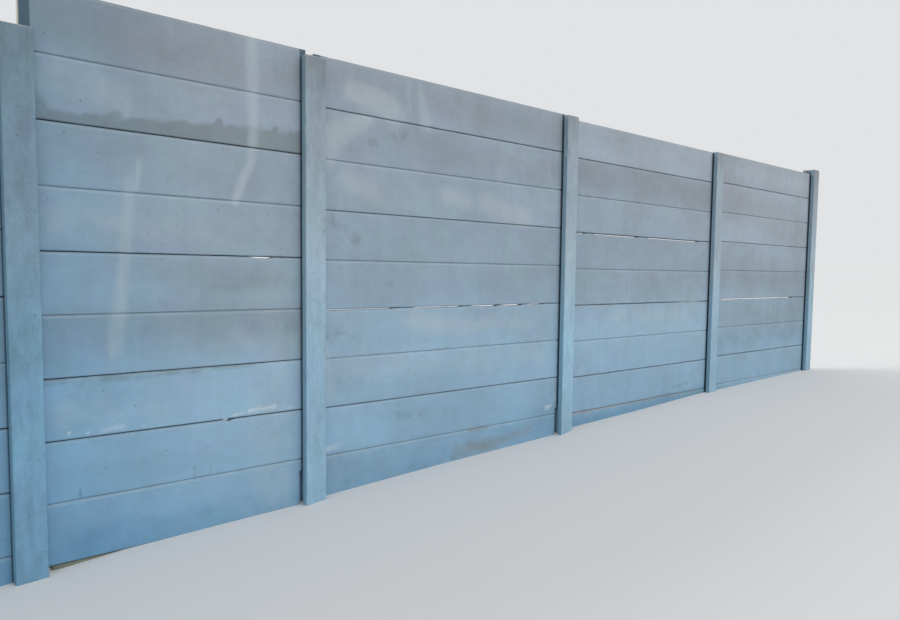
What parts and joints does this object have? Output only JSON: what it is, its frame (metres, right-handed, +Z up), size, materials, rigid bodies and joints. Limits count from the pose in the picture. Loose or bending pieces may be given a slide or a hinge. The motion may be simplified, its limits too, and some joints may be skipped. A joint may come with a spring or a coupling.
{
  "type": "precast concrete panel wall",
  "caption": "Precast concrete boundary wall: slotted H-section posts with flat stacked panels between them, grooved front face, stepped at the left end.",
  "frame": {"origin": "centre of the first (left) post's foot, at the lowest ground the wall meets", "axes": "+X along the wall to the right as seen from the grooved front, +Y through the wall to its plain back, +Z up"},
  "size_m": [9.64, 0.125, 2.454],
  "materials": {
    "panel_concrete": "cast concrete, weathered, matt",
    "post_concrete": "cast concrete, smooth from the mould, matt",
    "sill_concrete": "rough concrete, matt"
  },
  "bodies": {
    "root": {"bay_1_panel_1": "panel_concrete", "bay_1_panel_2": "panel_concrete", "bay_1_panel_3": "panel_concrete", "bay_1_panel_4": "panel_concrete", "bay_1_panel_5": "panel_concrete", "bay_2_panel_1": "panel_concrete", "bay_2_panel_2": "panel_concrete", "bay_2_panel_3": "panel_concrete", "bay_2_panel_4": "panel_concrete", "bay_2_panel_5": "panel_concrete", "bay_2_sill": "sill_concrete", "bay_3_panel_1": "panel_concrete", "bay_3_panel_2": "panel_concrete", "bay_3_panel_3": "panel_concrete", "bay_3_panel_4": "panel_concrete", "bay_3_panel_5": "panel_concrete", "bay_3_sill": "sill_concrete", "bay_4_panel_1": "panel_concrete", "bay_4_panel_2": "panel_concrete", "bay_4_panel_3": "panel_concrete", "bay_4_panel_4": "panel_concrete", "bay_4_panel_5": "panel_concrete", "bay_4_sill": "sill_concrete", "bay_5_panel_1": "panel_concrete", "bay_5_panel_2": "panel_concrete", "bay_5_panel_3": "panel_concrete", "bay_5_panel_4": "panel_concrete", "bay_5_panel_5": "panel_concrete", "bay_5_sill": "sill_concrete", "post_1": "post_concrete", "post_2": "post_concrete", "post_3": "post_concrete", "post_4": "post_concrete", "post_5": "post_concrete", "post_6": "post_concrete"}
  },
  "joints": []
}
